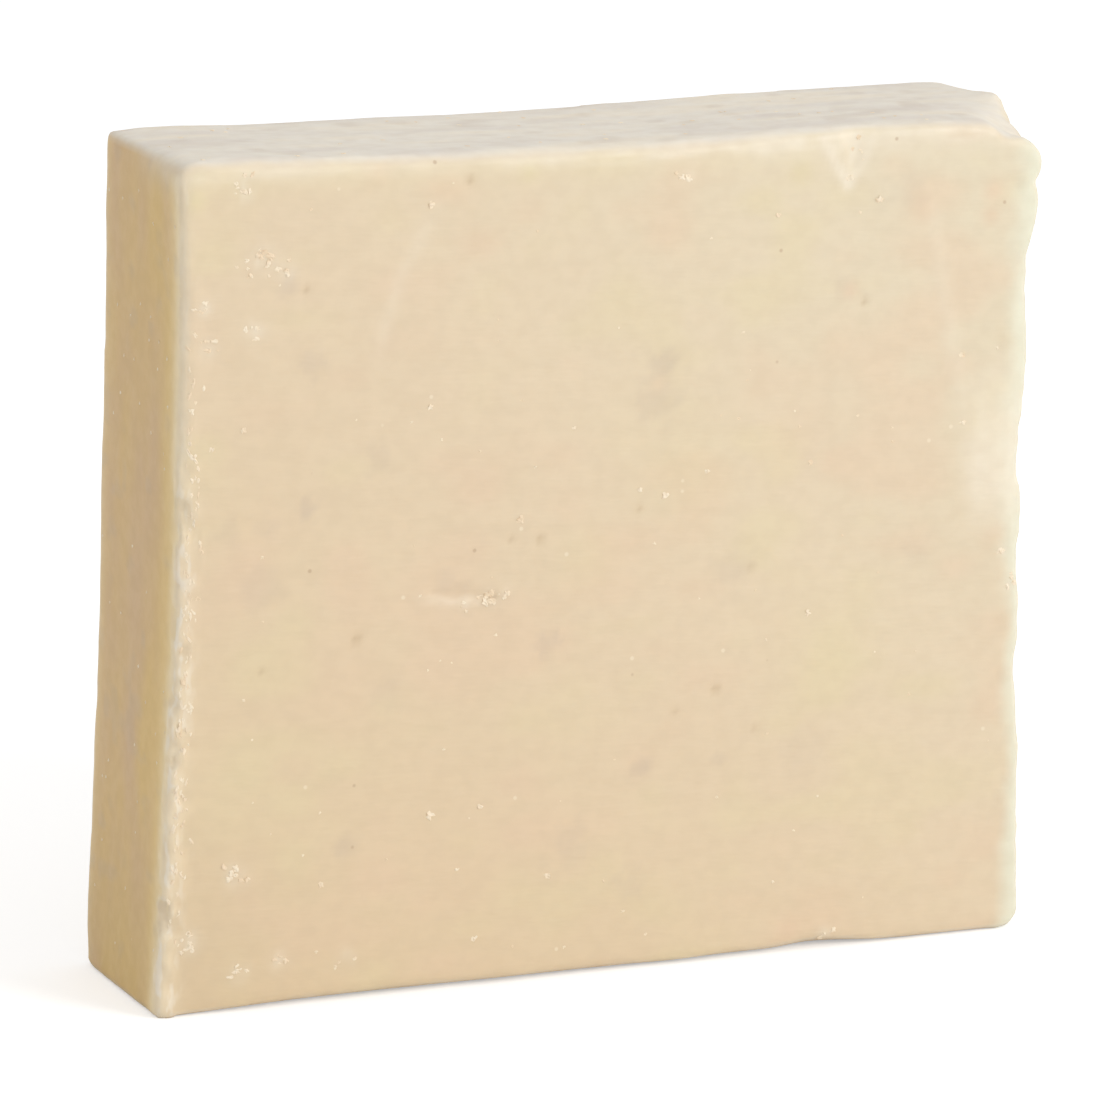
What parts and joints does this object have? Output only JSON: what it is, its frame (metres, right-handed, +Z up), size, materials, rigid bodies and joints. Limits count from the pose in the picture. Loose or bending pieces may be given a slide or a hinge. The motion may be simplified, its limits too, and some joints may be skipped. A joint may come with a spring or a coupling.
{
  "type": "bar of soap",
  "caption": "Plain hand-cut slab of soap with worn edges and an uneven right side, standing upright on its flat lower side.",
  "frame": {"origin": "middle of the box's underside, where the bar rests", "axes": "+X along the width, towards the uneven poured side; +Y through the thickness, away from the front cut face; +Z up"},
  "size_m": [0.0894, 0.0196, 0.0799],
  "materials": {
    "soap": "waxy, slightly mottled cream soap with a soft low sheen"
  },
  "bodies": {
    "root": {"soap_bar": "soap"}
  },
  "joints": []
}
